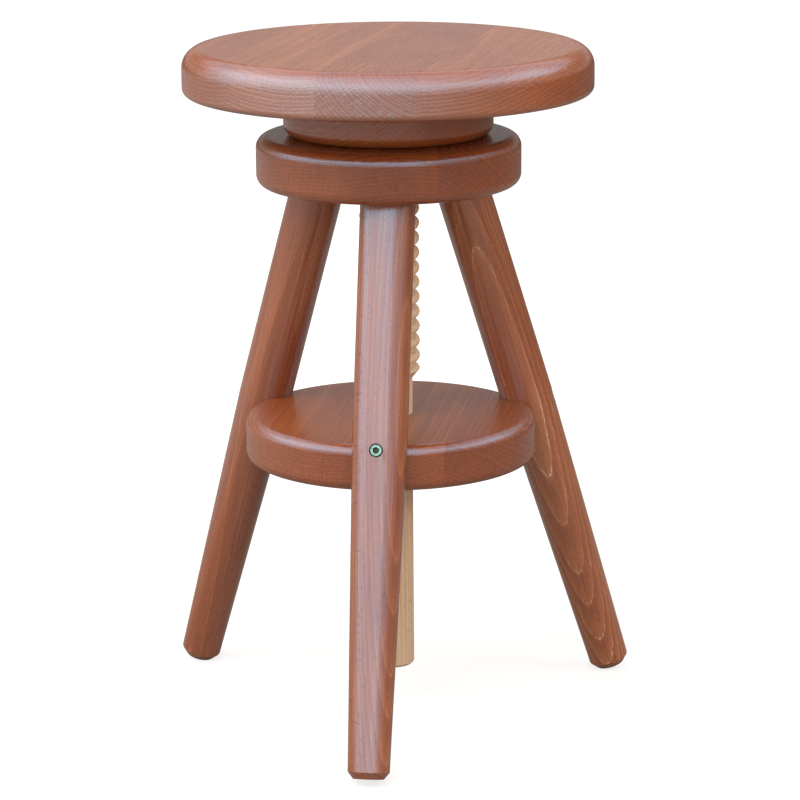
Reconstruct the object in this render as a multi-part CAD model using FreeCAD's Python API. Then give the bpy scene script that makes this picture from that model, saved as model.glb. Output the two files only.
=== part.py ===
import FreeCAD, Part
import math
import os
from FreeCAD import Vector

# A three-legged wooden screw stool. Millimetres. The origin is on the spindle axis at floor level,
# +Z is up and the front leg stands toward -Y. The seat is drawn in its lowest position.

# Seat panel
SEAT_DIAMETER = 340.0
SEAT_THICKNESS = 38.0
SEAT_TOP_ROUND = 16.0
SEAT_BOTTOM_ROUND = 6.0

# Boss under the seat
BOSS_DIAMETER = 174.0
BOSS_THICKNESS = 34.7
BOSS_ROUND = 9.0
BOSS_TOP_EDGE = 1.0

# Hub: the tapped top block of the frame
HUB_UNDERSIDE = 450.0
HUB_DIAMETER = 220.0
HUB_THICKNESS = 42.0
HUB_ROUND = 10.0

# Stretcher shelf between the legs
SHELF_TOP = 255.0
SHELF_DIAMETER = 244.0
SHELF_THICKNESS = 38.0
SHELF_ROUND = 8.0

# The three panels are glued up from staves. Each panel has a number of staves, the angle of its
# grain from the front-to-back line, and the place of its leftmost glue joint, measured from the
# spindle axis. The other joints follow at the stave width, and the outer staves end at the rim.
STAVE_WIDTH = 80.0
SEAT_STAVES = 4
SEAT_GRAIN_ANGLE = -13.0
SEAT_FIRST_JOINT = -98.0
HUB_STAVES = 3
HUB_GRAIN_ANGLE = 0.0
HUB_FIRST_JOINT = -40.0
SHELF_STAVES = 3
SHELF_GRAIN_ANGLE = -8.0
SHELF_FIRST_JOINT = -20.0

# Legs: straight down to the shelf, tapered below it. The plane in which a leg splays is turned a
# little from the radial plane, so the three legs wind slightly round the spindle.
LEG_DIAMETER = 45.0
FOOT_DIAMETER = 34.0
FOOT_CHAMFER_WIDTH = 4.5
FOOT_CHAMFER_HEIGHT = 5.5
LEG_AXIS_RADIUS = 67.0
LEG_SPLAY = 18.0
LEG_WIND = -7.0
LEG_AZIMUTHS = {"front": -90.0, "right": 30.0, "left": 150.0}
SHOULDER_DEPTH = 3.0
TENON_DIAMETER = 32.0
TENON_LENGTH = 18.0
TENON_CHAMFER = 1.5

# Wooden screw: right-handed, one start. Each ridge has a narrow land on its crest, a bevel on
# both sides of the land and steep flanks down to the root.
THREAD_PITCH = 12.5
THREAD_MAJOR_DIAMETER = 50.0
THREAD_ROOT_DIAMETER = 39.0
THREAD_LAND = 2.2
THREAD_BEVEL_DEPTH = 1.8
THREAD_BEVEL_ANGLE = 55.0
THREAD_FLANK_ANGLE = 22.0
THREAD_CLEARANCE = 0.5
HELIX_STEPS = 12
SHAFT_DIAMETER = 37.0
SHAFT_END = 34.0
SHAFT_CHAMFER = 2.0
THREAD_END = 285.0
THREAD_START_ANGLE = 160.0
THREAD_RUNOUT = 8.0
GUIDE_CLEARANCE = 0.5
SPINDLE_TENON_DIAMETER = 34.0
SPINDLE_TENON_LENGTH = 26.0

# Socket-head bolts through the legs, M6, and the threaded inserts in the shelf
BOLT_DIAMETER = 6.0
BOLT_HEAD_DIAMETER = 10.0
BOLT_HEAD_HEIGHT = 6.0
BOLT_HEAD_EDGE = 0.6
BOLT_SOCKET = 5.0
BOLT_SOCKET_DEPTH = 3.2
BOLT_LENGTH = 60.0
BOLT_COUNTERBORE = 11.4
BOLT_HEAD_SINK = 0.6
BOLT_BELOW_SHELF_TOP = 8.5
INSERT_DIAMETER = 10.0
INSERT_LENGTH = 20.0
INSERT_SINK = 1.5
BOLT_END_ROOM = 2.0

# Wood screws: one on the axis and four round it
SPINDLE_SCREW_DIAMETER = 6.0
SPINDLE_SCREW_HEAD = 12.0
SPINDLE_SCREW_LENGTH = 60.0
BOSS_SCREW_DIAMETER = 5.0
BOSS_SCREW_HEAD = 10.0
BOSS_SCREW_LENGTH = 50.0
BOSS_SCREW_CIRCLE = 130.0
BOSS_SCREW_COUNT = 4
SCREW_SINK = 0.5
DRIVE_SLOT_LENGTH = 0.5
DRIVE_SLOT_WIDTH = 1.2
DRIVE_SLOT_DEPTH = 1.8

# Clearances
REST_GAP = 0.3
GLUE_GAP = 0.1
BOLT_HOLE_GAP = 0.25
SCREW_GAP = 0.05

# How far a cutting tool runs past the faces that it cuts
TOOL_OVERRUN = 3.0

UP = Vector(0, 0, 1)
ORIGIN = Vector(0, 0, 0)

HUB_TOP = HUB_UNDERSIDE + HUB_THICKNESS
BOSS_UNDERSIDE = HUB_TOP + REST_GAP
SEAT_UNDERSIDE = BOSS_UNDERSIDE + BOSS_THICKNESS
SEAT_TOP = SEAT_UNDERSIDE + SEAT_THICKNESS
SHELF_UNDERSIDE = SHELF_TOP - SHELF_THICKNESS
SPLAY = math.radians(LEG_SPLAY)


def line(a, b):
    return Part.LineSegment(a, b).toShape()


def revolve(edges):
    """Turn a closed outline, drawn in the XZ plane, once round the Z axis."""
    return Part.Face(Part.Wire(edges)).revolve(ORIGIN, UP, 360)


def turned(points):
    """A turned piece from its (radius, height) corners."""
    corners = [Vector(radius, 0, height) for radius, height in points]
    return revolve([line(a, b) for a, b in zip(corners, corners[1:] + corners[:1])])


def rod(diameter, start, end):
    """A round bar on the Z axis between two heights."""
    return Part.makeCylinder(diameter / 2, end - start, Vector(0, 0, start))


def rounded_disc(diameter, bottom, thickness, top_round, bottom_round):
    """A turned disc with a quarter round on its upper edge and one on its lower edge."""
    radius = diameter / 2
    top = bottom + thickness
    slant = math.sqrt(0.5)
    low_start = Vector(radius - bottom_round, 0, bottom)
    low_middle = Vector(radius - bottom_round * (1 - slant), 0, bottom + bottom_round * (1 - slant))
    low_end = Vector(radius, 0, bottom + bottom_round)
    high_start = Vector(radius, 0, top - top_round)
    high_middle = Vector(radius - top_round * (1 - slant), 0, top - top_round * (1 - slant))
    high_end = Vector(radius - top_round, 0, top)
    axis_low = Vector(0, 0, bottom)
    axis_high = Vector(0, 0, top)
    return revolve([
        line(axis_low, low_start),
        Part.Arc(low_start, low_middle, low_end).toShape(),
        line(low_end, high_start),
        Part.Arc(high_start, high_middle, high_end).toShape(),
        line(high_end, axis_high),
        line(axis_high, axis_low),
    ])


def split_staves(name, panel, diameter, count, first_joint, grain_angle):
    """Saw a finished panel along its glue joints into its staves, named from left to right."""
    joints = [first_joint + STAVE_WIDTH * step for step in range(count - 1)]
    edges = [-diameter] + joints + [diameter]
    staves = {}
    for left, right in zip(edges, edges[1:]):
        slab = Part.makeBox(right - left, 2 * diameter, 2 * SEAT_TOP, Vector(left, -diameter, -SEAT_TOP))
        slab.rotate(ORIGIN, UP, grain_angle)
        staves["%s_stave_%d" % (name, len(staves) + 1)] = panel.common(slab)
    return staves


def ridge_outline(grow):
    """Corners (radius, height) of one turn of the thread on a plane through the axis, from one
    root to the next and centred on the crest. Every line is moved outward by 'grow'."""
    flank = math.tan(math.radians(THREAD_FLANK_ANGLE))
    bevel = math.tan(math.radians(THREAD_BEVEL_ANGLE))
    crest = THREAD_MAJOR_DIAMETER / 2
    root = THREAD_ROOT_DIAMETER / 2
    # Heights where the bevel and the flank, moved outward, would meet the crest's radius.
    bevel_height = THREAD_LAND / 2 + grow * math.hypot(1, bevel)
    flank_height = THREAD_LAND / 2 + THREAD_BEVEL_DEPTH * (bevel - flank) + grow * math.hypot(1, flank)
    corner = crest - (flank_height - bevel_height) / (bevel - flank)
    corner_height = bevel_height + (crest - corner) * bevel
    land_height = bevel_height - grow * bevel
    root_height = flank_height + (crest - root - grow) * flank
    return [
        (root + grow, root_height - THREAD_PITCH),
        (root + grow, -root_height),
        (corner, -corner_height),
        (crest + grow, -land_height),
        (crest + grow, land_height),
        (corner, corner_height),
        (root + grow, root_height),
    ]


def helix(radius, start, turns):
    """A helix of whole turns with the thread's pitch, as a smooth curve."""
    steps = range(turns * HELIX_STEPS + 1)
    angles = [2 * math.pi * step / HELIX_STEPS for step in steps]
    points = [Vector(radius * math.cos(a), radius * math.sin(a), start + THREAD_PITCH * a / (2 * math.pi))
              for a in angles]
    curve = Part.BSplineCurve()
    curve.interpolate(Points=points, Parameters=[float(step) for step in steps])
    return curve


def helical_strip(lower, upper):
    """The ruled face between two helices."""
    surface = Part.BSplineSurface()
    surface.buildFromPolesMultsKnots(
        [lower.getPoles(), upper.getPoles()], [2, 2], lower.getMultiplicities(),
        [0.0, 1.0], lower.getKnots(), False, False, 1, lower.Degree)
    return surface.toShape()


def level_edges(faces, level):
    """Edges of the faces that lie in a level plane."""
    flat = 1e-5
    return [edge for face in faces for edge in face.Edges if edge.BoundBox.ZLength < flat
            and abs(edge.CenterOfMass.z - level) < flat]


def threaded_bar(grow, low, high):
    """A threaded bar with flat ends. Its helical strips share their edges, are trimmed to the two
    heights, closed with a flat cap at each end and sewn into a solid. Every bar starts a whole
    number of turns from the thread's end and at the same angle, so the screw and the hole in the
    hub stay in step."""
    spare_turns = 3
    first_turn = math.floor((low - THREAD_END) / THREAD_PITCH) - spare_turns
    start = THREAD_END + THREAD_PITCH * first_turn
    turns = math.ceil((high - start) / THREAD_PITCH) + spare_turns
    curves = [helix(radius, start + height, turns) for radius, height in ridge_outline(grow)]
    width = 2 * THREAD_MAJOR_DIAMETER
    slab = Part.makeBox(width, width, high - low, Vector(-width / 2, -width / 2, low))
    faces = []
    for lower, upper in zip(curves, curves[1:]):
        faces += helical_strip(lower, upper).common(slab).Faces
    for level in (low, high):
        loop = Part.Wire(Part.sortEdges(level_edges(faces, level), 1e-3)[0])
        faces.append(Part.makeFace(loop, "Part::FaceMakerSimple"))
    shell = Part.makeShell(faces)
    shell.sewShape(1e-4)
    bar = Part.makeSolid(shell)
    if bar.Volume < 0:
        bar.reverse()
    bar.rotate(ORIGIN, UP, THREAD_START_ANGLE)
    return bar


def countersunk_screw(diameter, head, length):
    """A countersunk wood screw with its head up, its top on height 0, and a cross recess."""
    head_height = (head - diameter) / 2
    tip = diameter * 0.8
    shape = turned([
        (0, 0),
        (head / 2, 0),
        (diameter / 2, -head_height),
        (diameter / 2, -length + tip),
        (0, -length),
    ])
    slot_length = head * DRIVE_SLOT_LENGTH
    for angle in (0, 90):
        slot = Part.makeBox(slot_length, DRIVE_SLOT_WIDTH, DRIVE_SLOT_DEPTH * 2,
                            Vector(-slot_length / 2, -DRIVE_SLOT_WIDTH / 2, -DRIVE_SLOT_DEPTH))
        slot.rotate(ORIGIN, UP, angle)
        shape = shape.cut(slot)
    return shape


def countersunk_hole(diameter, head, length, gap):
    """The hole for such a screw, open above the head, with the gap on every side."""
    head_height = (head - diameter) / 2
    tip = diameter * 0.8
    return turned([
        (0, head),
        (head / 2 + gap, head),
        (head / 2 + gap, -gap),
        (diameter / 2 + gap, -head_height - gap),
        (diameter / 2 + gap, -length + tip - gap),
        (0, -length - gap),
    ])


def leg_placement(azimuth):
    """Local frame of a leg: origin on its axis in the plane of the hub's underside, local Z up
    the leg, local X outward and square to it, in the plane of the splay."""
    around = math.radians(azimuth)
    lean = math.radians(azimuth + LEG_WIND)
    outward = Vector(math.cos(lean), math.sin(lean), 0)
    x_axis = outward * math.cos(SPLAY) + UP * math.sin(SPLAY)
    z_axis = UP * math.cos(SPLAY) - outward * math.sin(SPLAY)
    y_axis = z_axis.cross(x_axis)
    place = Vector(LEG_AXIS_RADIUS * math.cos(around), LEG_AXIS_RADIUS * math.sin(around), HUB_UNDERSIDE)
    return FreeCAD.Placement(FreeCAD.Matrix(
        x_axis.x, y_axis.x, z_axis.x, place.x,
        x_axis.y, y_axis.y, z_axis.y, place.y,
        x_axis.z, y_axis.z, z_axis.z, place.z,
        0, 0, 0, 1))


def along_leg(height):
    """Local Z of the leg where its axis passes a height above the floor."""
    return (height - HUB_UNDERSIDE) / math.cos(SPLAY)


def placed(shape, azimuth):
    """A copy of a shape drawn in the leg's local frame, set in the stool."""
    copy = shape.copy()
    copy.Placement = leg_placement(azimuth).multiply(copy.Placement)
    return copy


LEG_RADIUS = LEG_DIAMETER / 2
FOOT_RADIUS = FOOT_DIAMETER / 2
# The leg's end is cut square to its axis, so the stool stands on the inner edge of each foot.
FOOT_FACE_RADIUS = FOOT_RADIUS - FOOT_CHAMFER_WIDTH
LEG_END = along_leg(FOOT_FACE_RADIUS * math.sin(SPLAY))
TAPER_START = along_leg(SHELF_TOP)
# The shoulder lies wholly inside the hub: the leg slopes, so its low side decides the depth.
SHOULDER = LEG_RADIUS * math.tan(SPLAY) + SHOULDER_DEPTH
BOLT_HEIGHT = along_leg(SHELF_TOP - BOLT_BELOW_SHELF_TOP + LEG_RADIUS * math.sin(SPLAY))
BOLT_SEAT = LEG_RADIUS - BOLT_HEAD_SINK - BOLT_HEAD_HEIGHT


def across_leg(shape):
    """Turn a shape drawn along +Z so that it points outward across the leg at the bolt."""
    shape.rotate(ORIGIN, Vector(0, 1, 0), 90)
    shape.translate(Vector(0, 0, BOLT_HEIGHT))
    return shape


def leg_body(grow):
    """Leg without its bolt hole; 'grow' adds to every radius, and to the length of the tenon."""
    return turned([
        (0, LEG_END),
        (FOOT_FACE_RADIUS + grow, LEG_END),
        (FOOT_RADIUS + grow, LEG_END + FOOT_CHAMFER_HEIGHT),
        (LEG_RADIUS + grow, TAPER_START),
        (LEG_RADIUS + grow, SHOULDER),
        (TENON_DIAMETER / 2 + grow, SHOULDER),
        (TENON_DIAMETER / 2 + grow, SHOULDER + TENON_LENGTH - TENON_CHAMFER + grow),
        (TENON_DIAMETER / 2 - TENON_CHAMFER + grow, SHOULDER + TENON_LENGTH + grow),
        (0, SHOULDER + TENON_LENGTH + grow),
    ])


def make_legs():
    hole = rod(BOLT_DIAMETER + 2 * BOLT_HOLE_GAP, -LEG_DIAMETER, LEG_DIAMETER)
    counterbore = rod(BOLT_COUNTERBORE, BOLT_SEAT, LEG_DIAMETER)
    leg = leg_body(0).cut(across_leg(hole)).cut(across_leg(counterbore))
    return {"leg_" + side: placed(leg, azimuth) for side, azimuth in LEG_AZIMUTHS.items()}


def make_bolts():
    """A bolt for each leg, head outward."""
    head_top = BOLT_SEAT + BOLT_HEAD_HEIGHT
    bolt = turned([
        (0, BOLT_SEAT - BOLT_LENGTH),
        (BOLT_DIAMETER / 2 - BOLT_HEAD_EDGE, BOLT_SEAT - BOLT_LENGTH),
        (BOLT_DIAMETER / 2, BOLT_SEAT - BOLT_LENGTH + BOLT_HEAD_EDGE),
        (BOLT_DIAMETER / 2, BOLT_SEAT),
        (BOLT_HEAD_DIAMETER / 2, BOLT_SEAT),
        (BOLT_HEAD_DIAMETER / 2, head_top - BOLT_HEAD_EDGE),
        (BOLT_HEAD_DIAMETER / 2 - BOLT_HEAD_EDGE, head_top),
        (0, head_top),
    ])
    corner = BOLT_SOCKET / math.sqrt(3)
    angles = [math.radians(60 * step) for step in range(7)]
    hexagon = Part.makePolygon([Vector(corner * math.cos(a), corner * math.sin(a), head_top) for a in angles])
    socket = Part.Face(hexagon).extrude(Vector(0, 0, -BOLT_SOCKET_DEPTH))
    bolt = across_leg(bolt.cut(socket))
    return {"bolt_" + side: placed(bolt, azimuth) for side, azimuth in LEG_AZIMUTHS.items()}


def make_inserts():
    """A threaded sleeve in the shelf on the axis of each bolt."""
    mouth = -LEG_RADIUS - INSERT_SINK
    sleeve = rod(INSERT_DIAMETER, mouth - INSERT_LENGTH, mouth)
    sleeve = sleeve.cut(rod(BOLT_DIAMETER + 2 * SCREW_GAP, mouth - INSERT_LENGTH, mouth))
    sleeve = across_leg(sleeve)
    return {"insert_" + side: placed(sleeve, azimuth) for side, azimuth in LEG_AZIMUTHS.items()}


def make_hub():
    """Hub with its tapped hole and a stepped socket for each leg, then sawn into its staves."""
    hub = rounded_disc(HUB_DIAMETER, HUB_UNDERSIDE, HUB_THICKNESS, HUB_ROUND, HUB_ROUND)
    for azimuth in LEG_AZIMUTHS.values():
        hub = hub.cut(placed(leg_body(GLUE_GAP), azimuth))
    hub = hub.cut(threaded_bar(THREAD_CLEARANCE, HUB_UNDERSIDE - TOOL_OVERRUN, HUB_TOP + TOOL_OVERRUN))
    return split_staves("hub", hub, HUB_DIAMETER, HUB_STAVES, HUB_FIRST_JOINT, HUB_GRAIN_ANGLE)


def make_shelf():
    """Shelf with the spindle's guide hole, a hollow for each leg and a hole for each insert."""
    shelf = rounded_disc(SHELF_DIAMETER, SHELF_UNDERSIDE, SHELF_THICKNESS, SHELF_ROUND, SHELF_ROUND)
    guide = SHAFT_DIAMETER + 2 * GUIDE_CLEARANCE
    shelf = shelf.cut(rod(guide, SHELF_UNDERSIDE - SHELF_ROUND, SHELF_TOP + SHELF_ROUND))
    insert_end = -LEG_RADIUS - INSERT_SINK - INSERT_LENGTH
    for azimuth in LEG_AZIMUTHS.values():
        insert_hole = rod(INSERT_DIAMETER + 2 * GLUE_GAP, insert_end, 0)
        bolt_end = min(BOLT_SEAT - BOLT_LENGTH, insert_end) - BOLT_END_ROOM
        bolt_hole = rod(BOLT_DIAMETER + 2 * BOLT_HOLE_GAP, bolt_end, 0)
        shelf = shelf.cut(placed(leg_body(GLUE_GAP), azimuth))
        shelf = shelf.cut(placed(across_leg(insert_hole), azimuth))
        shelf = shelf.cut(placed(across_leg(bolt_hole), azimuth))
    return split_staves("shelf", shelf, SHELF_DIAMETER, SHELF_STAVES, SHELF_FIRST_JOINT, SHELF_GRAIN_ANGLE)


def make_spindle():
    """Wooden screw: plain shaft, thread that runs out in a cone, and a tenon in the boss."""
    shaft = SHAFT_DIAMETER / 2
    tenon_top = BOSS_UNDERSIDE + SPINDLE_TENON_LENGTH
    lower = turned([
        (0, SHAFT_END),
        (shaft - SHAFT_CHAMFER, SHAFT_END),
        (shaft, SHAFT_END + SHAFT_CHAMFER),
        (shaft, THREAD_END),
        (0, THREAD_END),
    ])
    screw = threaded_bar(0, THREAD_END, BOSS_UNDERSIDE)
    crest = THREAD_MAJOR_DIAMETER / 2
    slope = THREAD_RUNOUT / (crest - shaft)
    cone = turned([
        (shaft, THREAD_END - TOOL_OVERRUN),
        (crest + TOOL_OVERRUN, THREAD_END - TOOL_OVERRUN),
        (crest + TOOL_OVERRUN, THREAD_END + THREAD_RUNOUT + TOOL_OVERRUN * slope),
        (shaft, THREAD_END),
    ])
    spindle = screw.cut(cone).fuse(lower).fuse(rod(SPINDLE_TENON_DIAMETER, BOSS_UNDERSIDE, tenon_top))
    return spindle.cut(spindle_screw_shape(countersunk_hole, SCREW_GAP))


def spindle_screw_shape(make, *gap):
    """The screw on the axis, or its hole: its head is sunk in the top of the boss."""
    shape = make(SPINDLE_SCREW_DIAMETER, SPINDLE_SCREW_HEAD, SPINDLE_SCREW_LENGTH, *gap)
    shape.translate(Vector(0, 0, SEAT_UNDERSIDE - SCREW_SINK))
    return shape


def boss_screw_shapes(make, *gap):
    """The four screws, or their holes: driven upward, with their heads in the boss's underside."""
    shapes = []
    for step in range(BOSS_SCREW_COUNT):
        shape = make(BOSS_SCREW_DIAMETER, BOSS_SCREW_HEAD, BOSS_SCREW_LENGTH, *gap)
        shape.rotate(ORIGIN, Vector(1, 0, 0), 180)
        shape.translate(Vector(BOSS_SCREW_CIRCLE / 2, 0, BOSS_UNDERSIDE + SCREW_SINK))
        shape.rotate(ORIGIN, UP, SEAT_GRAIN_ANGLE + 360 * (step + 0.5) / BOSS_SCREW_COUNT)
        shapes.append(shape)
    return shapes


def make_boss():
    boss = rounded_disc(BOSS_DIAMETER, BOSS_UNDERSIDE, BOSS_THICKNESS, BOSS_TOP_EDGE, BOSS_ROUND)
    tenon_top = BOSS_UNDERSIDE + SPINDLE_TENON_LENGTH
    boss = boss.cut(rod(SPINDLE_TENON_DIAMETER + 2 * GLUE_GAP, BOSS_UNDERSIDE - TOOL_OVERRUN, tenon_top))
    boss = boss.cut(spindle_screw_shape(countersunk_hole, SCREW_GAP))
    for hole in boss_screw_shapes(countersunk_hole, SCREW_GAP):
        boss = boss.cut(hole)
    return boss


def make_seat():
    """Seat panel with blind holes for the boss screws, sawn into its staves."""
    seat = rounded_disc(SEAT_DIAMETER, SEAT_UNDERSIDE, SEAT_THICKNESS, SEAT_TOP_ROUND, SEAT_BOTTOM_ROUND)
    for hole in boss_screw_shapes(countersunk_hole, SCREW_GAP):
        seat = seat.cut(hole)
    return split_staves("seat", seat, SEAT_DIAMETER, SEAT_STAVES, SEAT_FIRST_JOINT, SEAT_GRAIN_ANGLE)


nodes = {}
nodes.update(make_seat())
nodes["seat_boss"] = make_boss()
nodes["spindle"] = make_spindle()
nodes["spindle_screw"] = spindle_screw_shape(countersunk_screw)
nodes["boss_screws"] = Part.makeCompound(boss_screw_shapes(countersunk_screw))
nodes.update(make_hub())
nodes.update(make_legs())
nodes.update(make_shelf())
nodes.update(make_bolts())
nodes.update(make_inserts())

os.makedirs("parts", exist_ok=True)
for name, shape in nodes.items():
    shape.exportStep("parts/" + name + ".step")
    print(name, shape.isValid(), len(shape.Solids), round(shape.Volume / 1000, 2))
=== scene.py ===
# %% [markdown]
# # A wooden screw stool
# The solids of the stool come from its CAD model. In Blender they get the look of the real thing:
# stained and lacquered beech on the seat, hub, shelf and legs, bare beech on the screw, and bright
# zinc on the bolts. Each cell makes one piece or one finish, and prints what it made.

# %% The frame from CAD
import bmesh
import bpy
import math
from mathutils import Matrix, Vector


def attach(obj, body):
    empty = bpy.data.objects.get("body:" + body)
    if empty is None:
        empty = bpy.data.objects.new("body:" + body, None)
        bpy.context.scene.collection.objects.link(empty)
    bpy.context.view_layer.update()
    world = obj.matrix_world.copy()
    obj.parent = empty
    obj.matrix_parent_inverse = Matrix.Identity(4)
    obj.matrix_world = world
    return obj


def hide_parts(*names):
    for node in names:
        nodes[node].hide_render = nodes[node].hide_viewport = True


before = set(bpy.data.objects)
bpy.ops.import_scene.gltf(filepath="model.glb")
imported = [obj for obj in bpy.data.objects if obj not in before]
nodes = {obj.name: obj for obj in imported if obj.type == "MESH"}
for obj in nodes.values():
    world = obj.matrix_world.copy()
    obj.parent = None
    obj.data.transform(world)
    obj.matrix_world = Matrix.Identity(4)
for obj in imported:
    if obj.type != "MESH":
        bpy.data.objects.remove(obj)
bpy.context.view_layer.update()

# %% [markdown]
# ## Helpers
# Colours are written as sRGB hex values, as a colour picker gives them, and shaders want linear
# light. Node trees are long to write by hand, so one function adds a node, sets it and links it.
# The value of an input can be a number, an output or a whole node, which stands for its first output.

# %% Colour and node helpers
MM = 0.001
MATH, VECTOR = "ShaderNodeMath", "ShaderNodeVectorMath"
SPLIT, JOIN = "ShaderNodeSeparateXYZ", "ShaderNodeCombineXYZ"


def linear(hex_colour):
    """An sRGB hex colour such as #8a4f36 as linear red, green, blue and full alpha."""
    parts = [int(hex_colour[i:i + 2], 16) / 255 for i in (1, 3, 5)]
    return tuple(c / 12.92 if c <= 0.04045 else ((c + 0.055) / 1.055) ** 2.4 for c in parts) + (1.0,)


def add(tree, kind, inputs=(), points=(), stops=(), **settings):
    """Adds a node, sets its properties and its inputs, which are named in a dict or come in order.
    points are the places that a curve goes through, stops are a ramp's positions and colours."""
    node = tree.nodes.new(kind)
    for key, value in settings.items():
        setattr(node, key, value)
    for key, value in inputs.items() if isinstance(inputs, dict) else enumerate(inputs):
        if isinstance(value, bpy.types.Node):
            value = value.outputs[0]
        if isinstance(value, bpy.types.NodeSocket):
            tree.links.new(value, node.inputs[key])
        else:
            node.inputs[key].default_value = value
    if points:
        line = node.mapping.curves[0].points
        line[0].location, line[1].location = points[0], points[-1]
        for spot in points[1:-1]:
            line.new(*spot)
        node.mapping.update()
    if stops:
        ramp = node.color_ramp.elements
        ends = ((ramp[0], stops[0]), (ramp[1], stops[-1]))
        for stop, (position, colour) in ends + tuple((ramp.new(s[0]), s) for s in stops[1:-1]):
            stop.position, stop.color = position, linear(colour)
    return node


print("linear of #8a4f36:", [round(c, 3) for c in linear("#8a4f36")])

# %% [markdown]
# ## Beech
# A board is a piece of a tree, so its pattern is worked out in the solid and the surfaces only cut
# it. A picture wrapped round each piece would be another way, but its lines wouldn't meet at the
# edges. Board coordinates run along the grain on z, and the pith, the middle of the tree, is the
# line x = y = 0. So the first thing that a board needs is a rotation into its own frame.

# %% Sizes in beech, and the frame of a board
RING = 3.2 * MM
UNEVEN_YEARS = 7 * MM   # good and bad years follow each other over about two rings
RAY = (0.8 * MM, 12 * MM, 3.5 * MM)   # round the pith, out and along; 0.3 mm wide, drawn coarser to show
FIBRE = (1.1 * MM, 1.1 * MM, 60 * MM)   # pores are 0.1 mm wide, drawn coarser to show
STAIN = (55 * MM, 55 * MM, 130 * MM)   # patches where the stain took more or less
WANDER = (60 * MM, 60 * MM, 420 * MM)   # how slowly a trunk leaves the straight


def board_turn(along, across):
    """The rotation from the object's frame to a board's: grain on z and the board's width on x."""
    z = Vector(along).normalized()
    x = (Vector(across) - z * Vector(across).dot(z)).normalized()
    return Matrix((x, z.cross(x), z))


print("ring width, mm:", round(RING / MM, 1), "ray, mm:", [round(s / MM, 1) for s in RAY])

# %% [markdown]
# ## The grain
# Distance from the pith gives the year rings. The same rings are arcs on an end, straight lines on a
# quarter-sawn face and arches on a flat-sawn one, with nothing painted on. Beech also has rays, thin
# ribbons that run out from the pith. They are what makes its short flecks. Each of these is a noise
# or a curve in coordinates that are stretched to the real size.

# %% The grain of a board
SEASONS = ((0.0, 0.95), (0.10, 0.45), (0.35, 0.32), (0.70, 0.10), (0.88, 0.12), (1.0, 0.95))
NEAR_PITH = 30   # mm, so that rays don't get too thin in a board that holds the pith
FLECK_FROM, FLECK_TO = 0.58, 0.72   # only the tops of the noise are rays


def grain(tree, board, facing, pith, ring, wave, bow, seed):
    """Year rings, ray flecks, fibres, uneven stain and how far a face is sawn across, each 0 to 1."""
    axes = add(tree, SPLIT, (board,)).outputs
    flat = add(tree, VECTOR, (board, (1, 1, 0)), operation="MULTIPLY")
    radius = add(tree, VECTOR, (flat,), operation="LENGTH").outputs["Value"]
    angle = add(tree, MATH, (axes["Y"], axes["X"]), operation="ARCTAN2")
    around = add(tree, MATH, (angle, max(math.hypot(*pith), NEAR_PITH) * MM), operation="MULTIPLY")
    polar = add(tree, JOIN, (around, radius, axes["Z"]))

    # each noise is stretched to the size of what it stands for
    clouds = []
    for vector, size, detail in ((board, WANDER, 1.5), (polar, RAY, 1.0), (board, FIBRE, 2.0),
                                 (board, STAIN, 2.0)):
        scaled = add(tree, VECTOR, (vector, [1 / s for s in size], (seed, 0, 7 * seed)),
                     operation="MULTIPLY_ADD")
        clouds.append(add(tree, "ShaderNodeTexNoise", {"Vector": scaled, "Scale": 1.0, "Detail": detail}))
    wander, rays, fibre, stain = clouds

    # the rings follow the distance from the pith, which wanders and may bow along the trunk
    distance = add(tree, MATH, (wander, 2 * wave * MM, radius), operation="MULTIPLY_ADD")
    square = add(tree, MATH, (axes["Z"], axes["Z"]), operation="MULTIPLY")
    bent = add(tree, MATH, (square, bow, distance), operation="MULTIPLY_ADD")
    place = add(tree, MATH, (bent, 1 / UNEVEN_YEARS), operation="MULTIPLY")
    uneven = add(tree, "ShaderNodeTexNoise", {"W": place, "Scale": 1.0, "Detail": 1.0}, noise_dimensions="1D")
    years = add(tree, MATH, (bent, 1 / ring), operation="MULTIPLY")
    years = add(tree, MATH, (uneven, 0.9, years), operation="MULTIPLY_ADD")
    season = add(tree, MATH, (years,), operation="FRACT")
    rings = add(tree, "ShaderNodeFloatCurve", {"Value": season}, points=SEASONS)

    fleck = add(tree, "ShaderNodeMapRange", {"Value": rays, "From Min": FLECK_FROM, "From Max": FLECK_TO})
    sawn = add(tree, MATH, (add(tree, SPLIT, (facing,)).outputs["Z"],), operation="ABSOLUTE")
    end = add(tree, MATH, (sawn, 3.0), operation="POWER")
    return rings, fleck, fibre, stain, end


print("points on the curve of a year:", len(SEASONS))

# %% [markdown]
# ## Stain and lacquer
# The stool is stained red brown and then lacquered. Stain sinks into the wood, so it is the
# base colour. Lacquer lies on it as a clear film, so it is the shader's coat, with a relief of its
# own where pores and rings show through. Sawn ends drink the lacquer and stay duller, and they are
# painted paler and greyer: partly their own open pores, partly a painted sheen.

# %% The beech material
STAINED = ("#4f1f0c", "#6d3115", "#87451f", "#a46238", "#c28a60")
# the grey pale of sawn ends: their own open pores, and a painted sheen on them
DRY_END_AND_SHEEN = "#9d9492"   # sawn ends where the lacquer sank in and left the pores open
MIDDLE_SHADE = 0.03
FIBRE_SHADE, STAIN_SHADE, FLECK_SHADE, END_SHADE = 0.44, 0.26, -0.16, -0.07
LACQUER_IOR = 1.95   # lacquer is near 1.5; matched to how strongly the front leg reflects
LACQUER_ROUGH = 0.21   # brushed on, so a satin film
RING_RELIEF, FLECK_RELIEF, DRY_RELIEF = 0.35, -0.5, 6.0


def blank_material(name):
    """A material with an empty node tree."""
    mat = bpy.data.materials.new(name)
    mat.use_nodes = True
    mat.node_tree.nodes.clear()
    return mat, mat.node_tree


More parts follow.
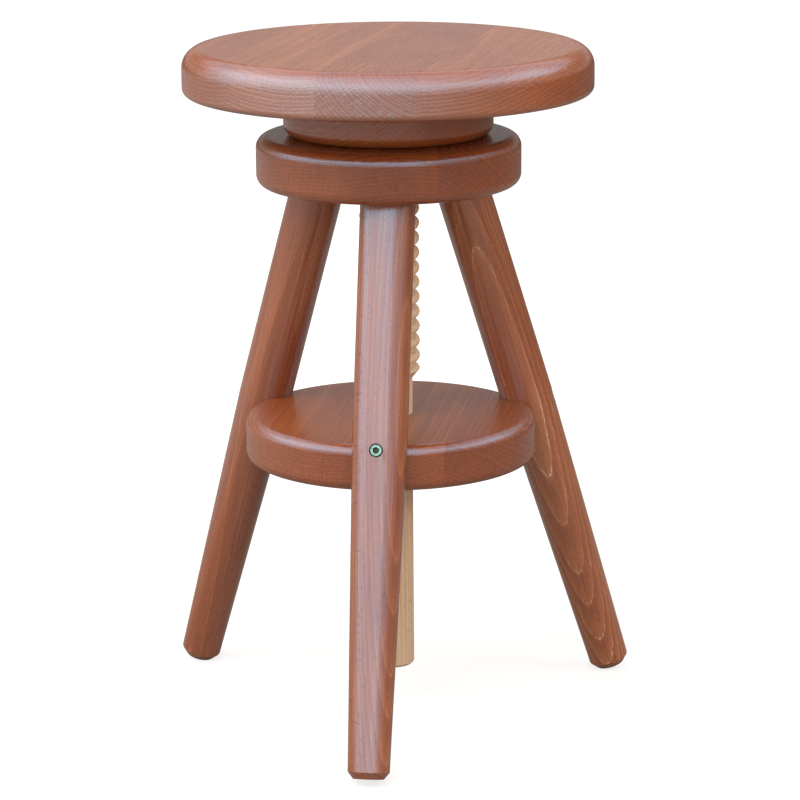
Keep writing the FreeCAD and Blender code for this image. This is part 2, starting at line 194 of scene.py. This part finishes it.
def beech(name, along, across, centre, pith, colours, tone=0.0, ring=RING, wave=3.0, bow=0.0,
          contrast=0.34, lacquer=1.0, rough=LACQUER_ROUGH, dry_ends_and_sheen=0.0, seed=0.0):
    """A beech material for one board. centre is a point of the board and pith is where the middle
    of the tree lies from there, across the width and through the thickness, in mm. bow bends the
    trunk along the board, in metres off the straight per metre squared, and closes arches into
    ovals. dry_ends_and_sheen is how much rougher sawn ends stay that took little lacquer, and how much paler
    and greyer they are painted there: partly their open pores, partly painted sheen."""
    mat, tree = blank_material(name)
    turn = board_turn(along, across)
    place = -(turn @ Vector(centre)) - Vector((pith[0] * MM, pith[1] * MM, 0))
    coords = add(tree, "ShaderNodeTexCoord").outputs
    board = add(tree, "ShaderNodeMapping", {"Vector": coords["Object"], "Location": place,
                                            "Rotation": turn.to_euler()})
    facing = add(tree, "ShaderNodeMapping", {"Vector": coords["Normal"], "Rotation": turn.to_euler()},
                 vector_type="NORMAL")
    rings, fleck, fibre, stain, end = grain(tree, board, facing, pith, ring, wave, bow, seed)

    shade = add(tree, MATH, (rings, contrast, MIDDLE_SHADE + tone), operation="MULTIPLY_ADD")
    for part, weight in ((fibre, FIBRE_SHADE), (stain, STAIN_SHADE), (fleck, FLECK_SHADE), (end, END_SHADE)):
        shade = add(tree, MATH, (part, weight, shade), operation="MULTIPLY_ADD")
    ramp = add(tree, "ShaderNodeValToRGB", {"Fac": shade}, stops=[(i / 4, c) for i, c in enumerate(colours)])
    colour = ramp.outputs[0]
    # sawn ends are painted paler and greyer where pores are open: partly their own dry colour, partly painted
    # sheen
    if dry_ends_and_sheen:
        pores = add(tree, MATH, (rings, 0.8, 0.5), operation="MULTIPLY_ADD")
        pores = add(tree, MATH, (fleck, 0.5, pores), operation="MULTIPLY_ADD")
        thirst_and_sheen = add(tree, MATH, (end, dry_ends_and_sheen), operation="MULTIPLY")
        dryness_and_sheen = add(tree, MATH, (pores, thirst_and_sheen), operation="MULTIPLY")
        colour = add(tree, "ShaderNodeMix", {0: dryness_and_sheen, 6: colour, 7: linear(DRY_END_AND_SHEEN)},
                     data_type="RGBA").outputs[2]

    # open pores and rings show through the lacquer, and more on a dry end
    relief = add(tree, MATH, (rings, RING_RELIEF, fibre), operation="MULTIPLY_ADD")
    relief = add(tree, MATH, (fleck, FLECK_RELIEF, relief), operation="MULTIPLY_ADD")
    deeper = add(tree, MATH, (end, DRY_RELIEF * dry_ends_and_sheen, 1.0), operation="MULTIPLY_ADD")
    relief = add(tree, MATH, (relief, deeper), operation="MULTIPLY")
    wood = add(tree, "ShaderNodeBump", {"Height": relief, "Strength": 0.35, "Distance": 0.25 * MM})
    film = add(tree, "ShaderNodeBump", {"Height": relief, "Strength": 0.5, "Distance": 0.22 * MM})

    # to the eye: a deep red brown under a satin film that mirrors broad pale bands; bare wood is matt
    shader = add(tree, "ShaderNodeBsdfPrincipled", {
        "Base Color": colour, "Normal": wood, "Roughness": 0.55 if lacquer else 0.62,
        "Specular IOR Level": 0.1 if lacquer else 0.3, "Coat Weight": lacquer,
        "Coat Roughness": rough, "Coat IOR": LACQUER_IOR, "Coat Normal": film})
    add(tree, "ShaderNodeOutputMaterial", {"Surface": shader})
    return mat


print("colours of stained beech, dark to pale:", len(STAINED))

# %% [markdown]
# ## The seat
# The round seat is glued up from staves about 80 mm wide and then sawn and turned, so each stave is
# another piece of the tree, with its own pith and its own shade after staining. The grain runs away
# from the viewer and a little to the right, so the front edge shows end grain.

# %% Staves of the seat
SEAT_GRAIN = -13.0   # degrees
SEAT_MIDDLE = 546 * MM
SEAT_CONTRAST, SEAT_ROUGH = 0.22, 0.16   # faint rings, and rubbed smoother than the rest
PANEL_LACQUER = 0.75   # thinner on flat panels than on the legs


def finish_node(node, mat):
    """Puts a material on a CAD node in place of the plain one it came with."""
    nodes[node].data.materials.clear()
    nodes[node].data.materials.append(mat)


def floor_way(degrees):
    """A direction on the floor plane, as an angle from straight right, positive to the back."""
    a = math.radians(degrees)
    return Vector((math.cos(a), math.sin(a), 0))


seat_staves = {
    # centre across the seat in mm, pith from there, tone, how dry the sawn ends are and how much painted
    # sheen they get
    "seat_stave_1": (-134, (10, -150), 0.0, 0.48),
    "seat_stave_2": (-58, (15, -190), 0.06, 0.44),
    "seat_stave_3": (22, (70, -75), -0.02, 0.34),
    "seat_stave_4": (116, (-45, -140), 0.03, 0.32),
}
for k, (stave, (middle, pith, tone, dry_and_sheen)) in enumerate(seat_staves.items()):
    across = floor_way(SEAT_GRAIN)
    centre = across * middle * MM + Vector((0, 0, SEAT_MIDDLE))
    finish_node(stave, beech(
        "stained_lacquered_beech_" + stave, floor_way(90 + SEAT_GRAIN), across, centre, pith, STAINED,
        tone=tone, contrast=SEAT_CONTRAST, lacquer=PANEL_LACQUER, rough=SEAT_ROUGH, dry_ends_and_sheen=dry_and_sheen,
        seed=0.37 * (k + 1)))
print("seat staves:", len(seat_staves))

# %% [markdown]
# ## The hub, the shelf and the boss
# Hub and shelf are smaller round panels of three staves, and the boss is one block. They have the same
# finish, so only a row of a table is new for each: how its grain lies, where it is, and its pith.

# %% Staves of the hub and the shelf, and the boss
HUB_MIDDLE, SHELF_MIDDLE, BOSS_MIDDLE = 471 * MM, 236 * MM, 510 * MM
SHELF_GRAIN, BOSS_GRAIN = -8.0, 40.0   # degrees
PANEL_CONTRAST = 0.24
panel_staves = {
    # grain in degrees, height, centre across in mm, pith from there, tone
    "hub_stave_1": (0.0, HUB_MIDDLE, -75, (20, 160), -0.02),
    "hub_stave_2": (0.0, HUB_MIDDLE, 0, (12, 240), -0.04),
    "hub_stave_3": (0.0, HUB_MIDDLE, 75, (-60, 60), -0.08),
    "shelf_stave_1": (SHELF_GRAIN, SHELF_MIDDLE, -71, (25, -170), 0.0),
    "shelf_stave_2": (SHELF_GRAIN, SHELF_MIDDLE, 20, (-20, -160), -0.02),
    "shelf_stave_3": (SHELF_GRAIN, SHELF_MIDDLE, 91, (-60, 70), -0.1),
    "seat_boss": (BOSS_GRAIN, BOSS_MIDDLE, 0, (50, 110), 0.04),
}
for k, (node, (degrees, height, middle, pith, tone)) in enumerate(panel_staves.items()):
    across = floor_way(degrees)
    centre = across * middle * MM + Vector((0, 0, height))
    finish_node(node, beech(
        "stained_lacquered_beech_" + node, floor_way(90 + degrees), across, centre, pith, STAINED,
        tone=tone, contrast=PANEL_CONTRAST, lacquer=PANEL_LACQUER, seed=2.1 + 0.41 * k))
print("hub, shelf and boss pieces:", len(panel_staves))

# %% [markdown]
# ## The legs
# A leg is turned from one straight-grained billet, so its grain follows its axis. The right leg
# shows arches on the side we see, because the pith lies behind that side, and the front leg has
# its long lines on the right. Nothing else is needed: the lathe's taper cuts the rings by itself.

# %% Turned legs
LEG_TOP, LEG_MIDDLE = 450 * MM, 170 * MM   # height of the top, and the pattern's middle down from there
LEG_CIRCLE = 67 * MM   # radius that the leg tops stand on
LEG_RING = 3.5 * MM
SPLAY, WIND = 18.0, -7.0   # degrees
legs = {
    # azimuth, pith to the right of the axis and behind it as the viewer sees it, bow, tone, contrast
    "leg_front": (-90.0, (-52, 34), -0.16, 0.02, 0.34),
    "leg_right": (30.0, (5, 60), -0.18, 0.05, 0.42),
    "leg_left": (150.0, (70, 90), 0.1, 0.0, 0.25),
}
leg_lines = {}
tilt = math.radians(SPLAY)
for k, (leg, (azimuth, pith, bow, tone, contrast)) in enumerate(legs.items()):
    top = floor_way(azimuth) * LEG_CIRCLE + Vector((0, 0, LEG_TOP))
    lean = floor_way(azimuth + WIND)
    axis = Vector((0, 0, math.cos(tilt))) - lean * math.sin(tilt)
    out = lean * math.cos(tilt) + Vector((0, 0, math.sin(tilt)))
    leg_lines[leg] = (top, axis, out)
    finish_node(leg, beech(
        "stained_lacquered_beech_" + leg, axis, (1, 0, 0), top - axis * LEG_MIDDLE, pith, STAINED,
        tone=tone, ring=LEG_RING, wave=2.5, bow=bow, contrast=contrast, seed=5.3 + 0.9 * k))
print("legs:", len(legs), "splay, degrees:", SPLAY)

# %% [markdown]
# ## The screw
# The spindle is turned from bare beech and its thread is cut with a wooden-screw box, which leaves
# round crests and narrow valleys. A thread follows a rule: the radius at any point depends only on
# the height and the angle. A profile swept along a helix would do, but would leave its ends and the
# shaft to be joined on. So one formula in Geometry Nodes gives the radius of the whole spindle.

# %% The radius of the thread
PITCH, MAJOR, ROOT = 12.5 * MM, 25.0 * MM, 19.5 * MM
CREST_HALF = 5.0 * MM
THREAD_LOW, THREAD_HIGH = 285 * MM, 492.3 * MM
THREAD_START = 160 / 360   # the crest meets the thread's lower end at this part of a turn


def thread_radius(tree, sizes, u, height):
    """The radius at a part of a turn and a height: an ellipse across each crest, a flat valley between."""
    above = add(tree, MATH, (height, THREAD_LOW), operation="SUBTRACT")
    turns = add(tree, MATH, (above, sizes["Pitch"]), operation="DIVIDE")
    turns = add(tree, MATH, (turns, u), operation="SUBTRACT")
    turns = add(tree, MATH, (turns, THREAD_START), operation="ADD")
    crest = add(tree, MATH, (turns,), operation="ROUND")
    offset = add(tree, MATH, (turns, crest), operation="SUBTRACT")
    offset = add(tree, MATH, (offset, sizes["Pitch"]), operation="MULTIPLY")
    part = add(tree, MATH, (offset, sizes["Crest half width"]), operation="DIVIDE")
    part = add(tree, MATH, (part,), operation="ABSOLUTE")
    part = add(tree, MATH, (part, 1.0), operation="MINIMUM")
    square = add(tree, MATH, (part, part), operation="MULTIPLY")
    left = add(tree, MATH, (1.0, square), operation="SUBTRACT")
    bulge = add(tree, MATH, (left,), operation="SQRT")
    depth = add(tree, MATH, (sizes["Crest radius"], sizes["Root radius"]), operation="SUBTRACT")
    return add(tree, MATH, (bulge, depth, sizes["Root radius"]), operation="MULTIPLY_ADD")


print("turns of thread:", round((THREAD_HIGH - THREAD_LOW) / PITCH, 1))

# %% [markdown]
# ## From a grid to a spindle
# A flat grid is rolled round the axis. It is sheared along the helix, so that its rows follow the
# crests, and it has a whole number of rows to a pitch, so that its two long edges meet at the seam.

# %% A tree that rolls a grid into a threaded spindle
SHAFT, TENON = 18.5 * MM, 17.0 * MM
FOOT, TOP = 34 * MM, 518.3 * MM
RUNOUT, CHAMFER = 8 * MM, 2 * MM
ROWS_TO_A_PITCH, ROUND = 30, 72
WELD = 0.02 * MM


def spindle_tree(mat):
    """A Geometry Nodes tree for the spindle, where u goes once round it and v goes up it."""
    tree = bpy.data.node_groups.new("threaded_spindle", "GeometryNodeTree")
    tree.interface.new_socket("Geometry", in_out="INPUT", socket_type="NodeSocketGeometry")
    for label in ("Pitch", "Crest radius", "Root radius", "Crest half width"):
        tree.interface.new_socket(label, in_out="INPUT", socket_type="NodeSocketFloat")
    tree.interface.new_socket("Geometry", in_out="OUTPUT", socket_type="NodeSocketGeometry")
    sizes = add(tree, "NodeGroupInput").outputs
    rows = math.ceil((TOP - FOOT + PITCH) / PITCH * ROWS_TO_A_PITCH)
    span = rows / ROWS_TO_A_PITCH * PITCH
    grid = add(tree, "GeometryNodeMeshGrid", {"Size X": 1.0, "Size Y": 1.0, "Vertices X": ROUND + 1,
                                              "Vertices Y": rows + 1})
    spot = add(tree, SPLIT, (add(tree, "GeometryNodeInputPosition"),)).outputs
    u = add(tree, MATH, (spot["X"], 0.5), operation="ADD")
    v = add(tree, MATH, (spot["Y"], 0.5), operation="ADD")
    climb = add(tree, MATH, (u, 1.0), operation="SUBTRACT")
    climb = add(tree, MATH, (climb, sizes["Pitch"]), operation="MULTIPLY")
    rise = add(tree, MATH, (v, span, FOOT), operation="MULTIPLY_ADD")
    rise = add(tree, MATH, (rise, climb), operation="ADD")
    height = add(tree, MATH, (rise, FOOT), operation="MAXIMUM")
    height = add(tree, MATH, (height, TOP), operation="MINIMUM")

    # below, the thread fades into the plain shaft; above is the tenon in the boss; the foot is chamfered
    thread = thread_radius(tree, sizes, u, height)
    fade = add(tree, "ShaderNodeMapRange", {
        "Value": height, "From Min": THREAD_LOW, "From Max": THREAD_LOW + RUNOUT,
        "To Min": SHAFT, "To Max": MAJOR})
    body = add(tree, MATH, (thread, fade), operation="MINIMUM")
    body = add(tree, MATH, (body, SHAFT), operation="MAXIMUM")
    upper = add(tree, MATH, (height, THREAD_HIGH), operation="GREATER_THAN")
    shoulder = add(tree, MATH, (TENON, body), operation="SUBTRACT")
    radius = add(tree, MATH, (upper, shoulder, body), operation="MULTIPLY_ADD")
    chamfer = add(tree, MATH, (height, FOOT - SHAFT + CHAMFER), operation="SUBTRACT")
    radius = add(tree, MATH, (radius, chamfer), operation="MINIMUM")

    angle = add(tree, MATH, (u, 2 * math.pi), operation="MULTIPLY")
    x, y = (add(tree, MATH, (radius, add(tree, MATH, (angle,), operation=way)), operation="MULTIPLY")
            for way in ("COSINE", "SINE"))
    roll = add(tree, JOIN, (x, y, height))
    rolled = add(tree, "GeometryNodeSetPosition", {"Geometry": grid, "Position": roll})
    closed = add(tree, "GeometryNodeMergeByDistance", {"Geometry": rolled, "Distance": WELD})
    smooth = add(tree, "GeometryNodeSetShadeSmooth", {"Geometry": closed})
    real = add(tree, "GeometryNodeRealizeInstances", {"Geometry": smooth})
    dressed = add(tree, "GeometryNodeSetMaterial", {"Geometry": real, "Material": mat})
    add(tree, "NodeGroupOutput", {"Geometry": dressed})
    return tree


# turned beech, left bare: pale and matt, with fine lines along it
BARE = ("#a67f5f", "#c19d7d", "#d3b69a", "#e0cab2", "#ecdecc")
bare_beech = beech("bare_turned_beech", (0, 0, 1), (1, 0, 0), (0, 0, 0), (30, 40), BARE, tone=-0.06,
                   wave=4.0, lacquer=0.0, seed=9.0)
tree = spindle_tree(bare_beech)
print("spindle tree:", len(tree.nodes), "nodes")

# %% [markdown]
# ## The spindle as a plain mesh
# The other tools want a plain mesh, so the tree runs once and its result is kept without the modifier.
# A rolled grid is a tube, and its two ends are closed here so that the spindle is solid.

# %% Running the tree and closing the ends
SLIVER = 0.005 * MM


def from_tree(name, tree, values):
    """Runs a Geometry Nodes tree on an empty mesh and keeps the result as a plain mesh object."""
    holder = bpy.data.objects.new(name + "_maker", bpy.data.meshes.new(name + "_seed"))
    bpy.context.scene.collection.objects.link(holder)
    modifier = holder.modifiers.new("rule", "NODES")
    modifier.node_group = tree
    for item in tree.interface.items_tree:
        if item.in_out == "INPUT" and item.name in values:
            modifier[item.identifier] = values[item.name]
    bpy.context.view_layer.update()
    made = holder.evaluated_get(bpy.context.evaluated_depsgraph_get())
    mesh = bpy.data.meshes.new_from_object(made)
    bpy.data.objects.remove(holder)
    piece = bpy.data.objects.new(name, mesh)
    bpy.context.scene.collection.objects.link(piece)
    return piece


def close_ends(piece):
    """Fills the two open ends of a rolled mesh and turns its faces outwards."""
    shell = bmesh.new()
    shell.from_mesh(piece.data)
    bmesh.ops.dissolve_degenerate(shell, dist=SLIVER, edges=shell.edges)
    ends = bmesh.ops.holes_fill(shell, edges=[e for e in shell.edges if e.is_boundary])["faces"]
    for end in ends:
        end.smooth = False
    bmesh.ops.recalc_face_normals(shell, faces=shell.faces)
    open_edges = sum(not e.is_manifold for e in shell.edges)
    shell.to_mesh(piece.data)
    shell.free()
    return len(ends), open_edges


spindle = from_tree("turned_spindle", tree, {"Pitch": PITCH, "Crest radius": MAJOR, "Root radius": ROOT,
                                             "Crest half width": CREST_HALF})
print("ends closed, open edges left:", close_ends(spindle))
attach(spindle, "seat")
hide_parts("spindle")
print("spindle faces:", len(spindle.data.polygons), "box:", [round(1000 * v, 1) for v in spindle.dimensions])

# %% [markdown]
# ## Bolts and screws
# The leg bolts are steel with a thin zinc plating, passivated to a faint yellow green. Tumbling and
# plating leave the head a little uneven, so its roughness wanders. The hexagon for the key is painted
# dark: painted shade on its deep floor, and the oil that stays there where plating hardly reaches.
# The bolt's own axis says what lies in it, so no face has to be picked by hand.

# %% Zinc-plated steel
ZINC = ((0.35, "#8b866f"), (0.65, "#aaa58c"))
KEY_HOLE_SHADE_AND_OIL = "#54402f"
ZINC_CLOUD = 2.5 * MM
KEY_HOLE = 3.0 * MM
HEAD_TOP, RIM = 21.9 * MM, 0.4 * MM   # from the middle of the leg, and how far down the hole turns dark


def zinc_plate(name, turn=None, centre=None):
    """Zinc plating. turn and centre take the object's frame to a bolt's, with the head up z."""
    mat, tree = blank_material(name)
    spot = add(tree, "ShaderNodeTexCoord").outputs["Object"]
    cloud = add(tree, "ShaderNodeTexNoise", {"Vector": spot, "Scale": 1 / ZINC_CLOUD, "Detail": 2.0})
    colour = add(tree, "ShaderNodeValToRGB", {"Fac": cloud}, stops=ZINC).outputs[0]
    if turn:
        bolt = add(tree, "ShaderNodeMapping", {"Vector": spot, "Location": -(turn @ centre),
                                               "Rotation": turn.to_euler()})
        axes = add(tree, SPLIT, (bolt,)).outputs
        flat = add(tree, JOIN, {"X": axes["X"], "Y": axes["Y"]})
        away = add(tree, VECTOR, (flat,), operation="LENGTH").outputs["Value"]
        inside = add(tree, MATH, (away, KEY_HOLE), operation="LESS_THAN")
        below = add(tree, MATH, (axes["Z"], HEAD_TOP - RIM), operation="LESS_THAN")
        # the floor of the key hole, below its rim, is painted dark: painted shade of the deep hole, with the
        # oil in it
        dark = add(tree, MATH, (inside, below), operation="MULTIPLY")
        colour = add(tree, "ShaderNodeMix", {0: dark, 6: colour, 7: linear(KEY_HOLE_SHADE_AND_OIL)},
                     data_type="RGBA").outputs[2]
    # to the eye: a soft, cloudy grey metal with a hint of green, not a mirror
    rough = add(tree, "ShaderNodeMapRange", {"Value": cloud, "To Min": 0.4, "To Max": 0.55})
    shader = add(tree, "ShaderNodeBsdfPrincipled", {"Base Color": colour, "Metallic": 1.0,
                                                    "Roughness": rough})
    add(tree, "ShaderNodeOutputMaterial", {"Surface": shader})
    return mat


zinc = zinc_plate("zinc_plated_steel")
metal = [n for n in nodes if n.startswith(("insert_", "boss_screws", "spindle_screw"))]
for node in metal:
    finish_node(node, zinc)
for leg, (top, axis, out) in leg_lines.items():
    bolt = leg.replace("leg", "bolt")
    down = [axis.dot(top - v.co) for v in nodes[bolt].data.vertices]
    depth = (min(down) + max(down)) / 2
    finish_node(bolt, zinc_plate("zinc_plated_steel_" + bolt, board_turn(out, axis), top - axis * depth))
    print(bolt, "below the hub, mm:", round(depth / MM, 1))
print("zinc-plated nodes:", len(metal) + len(leg_lines))

# %% [markdown]
# ## The floor
# The stool stands on a plain pale floor. Paint alone would come out grey, so the floor also glows for
# the camera, less near the stool, and its soft shadow stays in the paint. The lacquer sees little of
# that glow, and more of it on the left, where the light comes from.

# %% Floor
FLOOR_HALF = 6   # metres
FLOOR_PAINT = "#807e7c"
FLOOR_GLOW, GLOW_NEAR, GLOW_FAR = 0.78, 0.3, 1.2   # the glow near the stool; it is full from GLOW_FAR on
SHEEN, SHEEN_LEFT = 0.05, 0.38   # how much of the glow the lacquer is given to reflect
LEFT_FROM, LEFT_TO = -0.4, -1.6   # metres to the side, where it grows from the one to the other


def white_floor():
    mat, tree = blank_material("pale_painted_floor")
    path = add(tree, "ShaderNodeLightPath").outputs
    spot = add(tree, "ShaderNodeTexCoord").outputs["Object"]
    side = add(tree, SPLIT, (spot,)).outputs["X"]
    share = add(tree, "ShaderNodeMapRange", {"Value": side, "From Min": LEFT_TO, "From Max": LEFT_FROM,
                                             "To Min": SHEEN_LEFT, "To Max": SHEEN})
    seen = add(tree, MATH, (path["Is Glossy Ray"], share, path["Is Camera Ray"]), operation="MULTIPLY_ADD")
    seen = add(tree, MATH, (seen, path["Is Transmission Ray"]), operation="MAXIMUM")
    away = add(tree, VECTOR, (spot,), operation="LENGTH").outputs["Value"]
    fade = add(tree, "ShaderNodeMapRange", {"Value": away, "From Min": GLOW_NEAR, "From Max": GLOW_FAR,
                                            "To Min": FLOOR_GLOW, "To Max": 1.0},
               interpolation_type="SMOOTHSTEP")
    strength = add(tree, MATH, (seen, fade), operation="MULTIPLY")
    # to the eye: matt paint without a pattern, nearly white
    paint = add(tree, "ShaderNodeBsdfDiffuse", {"Color": linear(FLOOR_PAINT)})
    glow = add(tree, "ShaderNodeEmission", {"Color": linear("#ffffff"), "Strength": strength})
    both = add(tree, "ShaderNodeAddShader", (paint, glow))
    add(tree, "ShaderNodeOutputMaterial", {"Surface": both})
    mesh = bpy.data.meshes.new("floor")
    mesh.from_pydata([(x * FLOOR_HALF, y * FLOOR_HALF, 0) for x, y in ((-1, -1), (1, -1), (1, 1), (-1, 1))],
                     [], [(0, 1, 2, 3)])
    mesh.materials.append(mat)
    floor = bpy.data.objects.new("floor", mesh)
    bpy.context.scene.collection.objects.link(floor)
    return floor


floor = white_floor()
print("floor, m:", [round(v) for v in floor.dimensions])

# %% [markdown]
# ## What the lacquer reflects
# A satin film shows its surroundings as soft bands: the long pale one on the front leg, and the gloss
# along the rounded edges. Lamps would do it, but their edges show up as hard shapes in the lacquer.
# So a pale blue sky is worked out from the direction of a ray: bright on the viewer's side, from the
# left round to a clear edge on the right, and dim behind. Only glossy rays see it.

# %% The reflected sky
SKY_GLOSS = 4.3
SKY_TINT = ((0.05, "#fff0e2"), (0.35, "#a6e0ff"))
# degrees round from the viewer, to the right, with the sky's share
SKY_ROUND = ((-180, 0.18), (-150, 0.16), (-125, 0.36), (-98, 0.9), (-85, 1.0), (-60, 0.88), (-20, 0.76),
             (5, 0.8), (24, 1.0), (31, 0.68), (40, 0.48), (65, 0.38), (95, 0.24), (150, 0.16), (180, 0.18))
# degrees up with the sky's share, and a band further up that goes on to the sides
SKY_UP = ((0, 0.15), (4, 0.6), (8, 0.9), (14, 0.7), (22, 0.85), (40, 1.0), (70, 0.9), (90, 0.7))
SKY_HIGH = ((0, 0.0), (21, 0.0), (27, 0.9), (42, 0.95), (54, 0.45), (90, 0.45))


def reflected_sky(tree):
    """How bright the sky is in each direction, 0 to about 1."""
    way = add(tree, SPLIT, (add(tree, "ShaderNodeTexCoord").outputs["Generated"],)).outputs
    ahead = add(tree, MATH, (way["Y"], -1.0), operation="MULTIPLY")
    side = add(tree, MATH, (way["X"], ahead), operation="ARCTAN2")
    turn = add(tree, MATH, (side, 1 / (2 * math.pi), 0.5), operation="MULTIPLY_ADD")
    level = add(tree, "ShaderNodeFloatCurve", {"Value": turn}, points=[
        (0.5 + degrees / 360, share) for degrees, share in SKY_ROUND])
    above = add(tree, MATH, (way["Z"], 0.0), operation="MAXIMUM")
    rise, high = (add(tree, "ShaderNodeFloatCurve", {"Value": above}, points=[
        (math.sin(math.radians(degrees)), share) for degrees, share in table])
        for table in (SKY_UP, SKY_HIGH))
    sky = add(tree, MATH, (level, rise), operation="MULTIPLY")

    # dimmer behind the stool, from a little above the horizon, so that the seat's top keeps its colour
    rear = add(tree, "ShaderNodeMapRange", {"Value": way["Y"], "From Min": 0.2, "From Max": 0.7,
                                            "To Max": 0.6})
    risen = add(tree, "ShaderNodeMapRange", {"Value": way["Z"], "From Min": 0.15, "From Max": 0.24})
    dim = add(tree, MATH, (rear, risen), operation="MULTIPLY")
    dim = add(tree, MATH, (1.0, dim), operation="SUBTRACT")
    sky = add(tree, MATH, (sky, dim), operation="MULTIPLY")

    # the high band, which fades behind and is brighter on the left
    front = add(tree, "ShaderNodeMapRange", {"Value": way["Y"], "From Min": 0.3, "From Max": 0.65,
                                             "To Min": 1.0, "To Max": 0.3})
    left = add(tree, "ShaderNodeMapRange", {"Value": way["X"], "From Min": -0.8, "From Max": 0.8,
                                            "To Min": 1.35, "To Max": 1.0})
    band = add(tree, MATH, (high, front), operation="MULTIPLY")
    band = add(tree, MATH, (band, left), operation="MULTIPLY")
    return add(tree, MATH, (sky, band), operation="MAXIMUM")


print("points of the sky:", len(SKY_ROUND), "round,", len(SKY_UP) + len(SKY_HIGH), "up")

# %% [markdown]
# ## The world
# The camera sees plain white behind the stool, and diffuse light gets an even fill from all round.
# Which of the three a ray gets depends on its kind, which the Light Path node tells.

# %% World
WORLD_FILL = 0.4


def white_world():
    world = bpy.data.worlds.new("studio")
    bpy.context.scene.world = world
    world.use_nodes = True
    world.cycles.sampling_method = "NONE"   # a light sample wouldn't know that it is for gloss
    tree = world.node_tree
    tree.nodes.clear()
    path = add(tree, "ShaderNodeLightPath").outputs
    sky = reflected_sky(tree)
    tint = add(tree, "ShaderNodeValToRGB", {"Fac": sky}, stops=SKY_TINT)
    gloss = add(tree, MATH, (sky, SKY_GLOSS), operation="MULTIPLY")
    mirrored = add(tree, "ShaderNodeBackground", {"Color": tint, "Strength": gloss})
    seen = add(tree, MATH, (path["Is Camera Ray"], path["Is Transmission Ray"]), operation="MAXIMUM")
    level = add(tree, MATH, (seen, WORLD_FILL), operation="MAXIMUM")
    plain = add(tree, "ShaderNodeBackground", {"Color": linear("#ffffff"), "Strength": level})
    both = add(tree, "ShaderNodeMixShader", (path["Is Glossy Ray"], plain, mirrored))
    add(tree, "ShaderNodeOutputWorld", {"Surface": both})
    return tree


print("world nodes:", len(white_world().nodes))
bpy.context.scene.view_settings.view_transform = "Standard"

# %% [markdown]
# ## Lamps
# Large soft boxes stand round the stool, as in a studio, and give its diffuse light: a key box from
# the upper left, one each from the left, the front and the right, and weaker ones above and behind.
# They are hidden from glossy rays, because the lacquer already reflects the sky.

# %% Soft boxes
STOOL_MIDDLE = Vector((0, 0, 0.35))
LAMP_COLOUR = "#fff6ec"
lamps = {
    # degrees round from the viewer's side, to the right, and up; distance, width, height, m; radiance
    "key_box": (-35, 50, 2.4, 2.4, 1.6, 4.9),
    "overhead_box": (0, 85, 2.2, 2.8, 1.4, 1.7),
    "left_box": (-90, 20, 2.4, 1.6, 1.2, 4.8),
    "front_box": (10, 12, 2.5, 2.0, 1.0, 4.4),
    "right_box": (80, 25, 2.4, 1.4, 1.2, 4.4),
    "back_box": (180, 30, 2.5, 2.4, 1.4, 2.8),
}
for name, (azimuth, elevation, distance, width, height, radiance) in lamps.items():
    light = bpy.data.lights.new(name, "AREA")
    light.shape = "RECTANGLE"
    light.size, light.size_y = width, height
    light.energy = radiance * math.pi * width * height
    light.color = linear(LAMP_COLOUR)[:3]
    lamp = bpy.data.objects.new(name, light)
    bpy.context.scene.collection.objects.link(lamp)
    a, e = math.radians(azimuth), math.radians(elevation)
    back = Vector((math.sin(a) * math.cos(e), -math.cos(a) * math.cos(e), math.sin(e)))
    lamp.location = STOOL_MIDDLE + back * distance
    lamp.rotation_euler = (-back).to_track_quat("-Z", "Y").to_euler()
    lamp.visible_camera = False
    lamp.visible_glossy = False
print("lamps:", len(lamps))

# %% [markdown]
# ## The camera
# The camera was fitted to the outline of the stool in the photo: how far back and up it stands, where
# it looks and how it is rolled. A long lens keeps the seat's ellipse flat, as it is there.

# %% The camera
LENS_PIXELS, FRAME_PIXELS, SENSOR = 3407.7, 800, 36
CAMERA_BACK, CAMERA_UP, CAMERA_ROUND = 2.7916, 0.9408, 0.695
LOOK_DOWN, LOOK_RIGHT, ROLL = 13.608, 0.162, -0.42
camera_data = bpy.data.cameras.new("camera")
camera = bpy.data.objects.new("camera", camera_data)
bpy.context.scene.collection.objects.link(camera)
camera_data.sensor_width = SENSOR
camera_data.lens = SENSOR * LENS_PIXELS / FRAME_PIXELS
camera_data.clip_end = 50
p, y, r = (math.radians(v) for v in (LOOK_DOWN, LOOK_RIGHT, ROLL))
ahead = Vector((math.sin(y) * math.cos(p), math.cos(y) * math.cos(p), -math.sin(p)))
level = Vector((math.cos(y), -math.sin(y), 0))
above = level.cross(ahead)
sideways = level * math.cos(r) + above * math.sin(r)
upright = above * math.cos(r) - level * math.sin(r)
stand = Matrix((sideways, upright, -ahead)).transposed().to_4x4()
stand.translation = (0, -CAMERA_BACK, CAMERA_UP)
camera.matrix_world = Matrix.Rotation(math.radians(CAMERA_ROUND), 4, "Z") @ stand
bpy.context.scene.camera = camera
print("lens, mm:", round(camera_data.lens, 1), "camera:", [round(v, 3) for v in camera.location])
